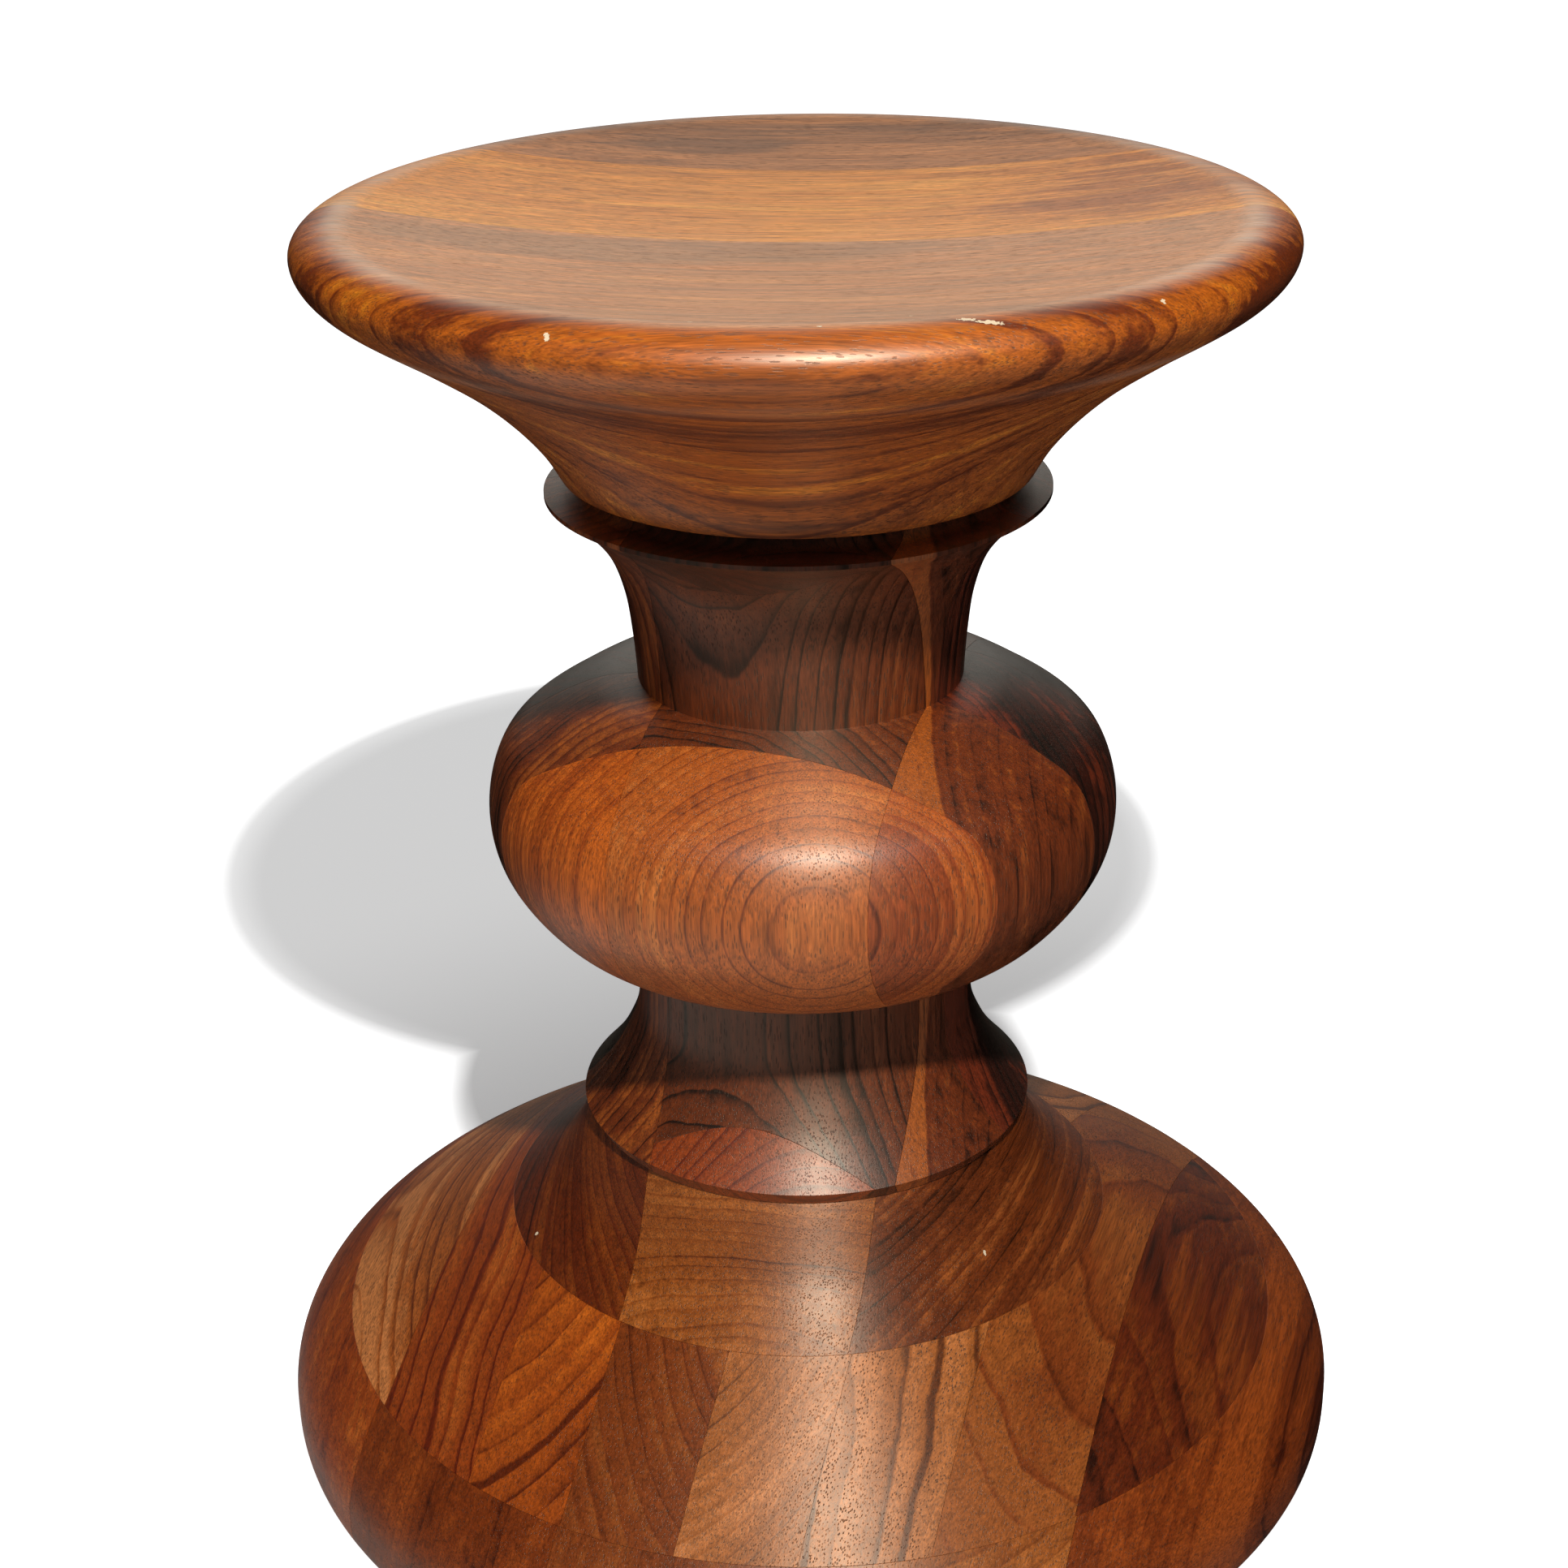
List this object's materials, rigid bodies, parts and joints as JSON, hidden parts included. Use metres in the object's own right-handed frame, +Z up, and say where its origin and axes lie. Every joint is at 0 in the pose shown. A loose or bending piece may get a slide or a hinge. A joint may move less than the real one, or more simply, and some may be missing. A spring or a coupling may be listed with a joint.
{
  "type": "stool",
  "caption": "Turned solid walnut stool: dished round seat block, spindle with flange, bulb and lip, and flared layered base.",
  "frame": {"origin": "on the floor, under the centre of the round base", "axes": "+Z up along the turning axis; -Y is the side that faces the camera in the picture; +X to its right"},
  "size_m": [0.33, 0.33, 0.3848],
  "materials": {
    "walnut_dark": "satin hand-rubbed lacquer on dark heartwood",
    "walnut_brown": "satin hand-rubbed lacquer on mid-brown heartwood",
    "walnut_russet": "satin hand-rubbed lacquer on reddish heartwood",
    "walnut_amber": "satin hand-rubbed lacquer on amber wood next to the sapwood",
    "walnut_golden": "satin hand-rubbed lacquer on golden-brown wood",
    "walnut_sheen": "satin hand-rubbed lacquer on end grain that looks greyer and pinker"
  },
  "bodies": {
    "root": {"seat_front_board": "walnut_russet", "seat_middle_board": "walnut_golden", "seat_back_board": "walnut_brown", "stave_left_front": "walnut_amber", "stave_left_fore": "walnut_brown", "stave_left_core": "walnut_russet", "stave_left_rear": "walnut_brown", "stave_left_back": "walnut_dark", "stave_middle_front_bulb": "walnut_russet", "stave_middle_front_lip": "walnut_russet", "stave_middle_front_flange": "walnut_russet", "stave_middle_fore": "walnut_brown", "stave_middle_core": "walnut_brown", "stave_middle_rear": "walnut_russet", "stave_middle_back": "walnut_brown", "stave_right_front": "walnut_brown", "stave_right_fore": "walnut_amber", "stave_right_core": "walnut_dark", "stave_right_rear_lip": "walnut_brown", "stave_right_rear_bulb": "walnut_brown", "stave_right_rear_flange": "walnut_brown", "stave_right_back": "walnut_russet", "bell_bottom_board_1": "walnut_russet", "bell_bottom_board_2": "walnut_brown", "bell_bottom_board_3": "walnut_brown", "bell_bottom_board_4": "walnut_sheen", "bell_bottom_board_5": "walnut_russet", "bell_middle_board_1": "walnut_brown", "bell_middle_board_2": "walnut_dark", "bell_middle_board_3": "walnut_amber", "bell_middle_board_4": "walnut_russet", "bell_middle_board_5": "walnut_sheen", "bell_middle_board_6": "walnut_brown", "bell_middle_board_7": "walnut_dark", "bell_middle_board_8": "walnut_amber", "bell_top_board_1": "walnut_brown", "bell_top_board_2": "walnut_sheen", "bell_top_board_3": "walnut_russet", "base_dowel": "walnut_golden", "seat_dowel": "walnut_golden"}
  },
  "joints": []
}
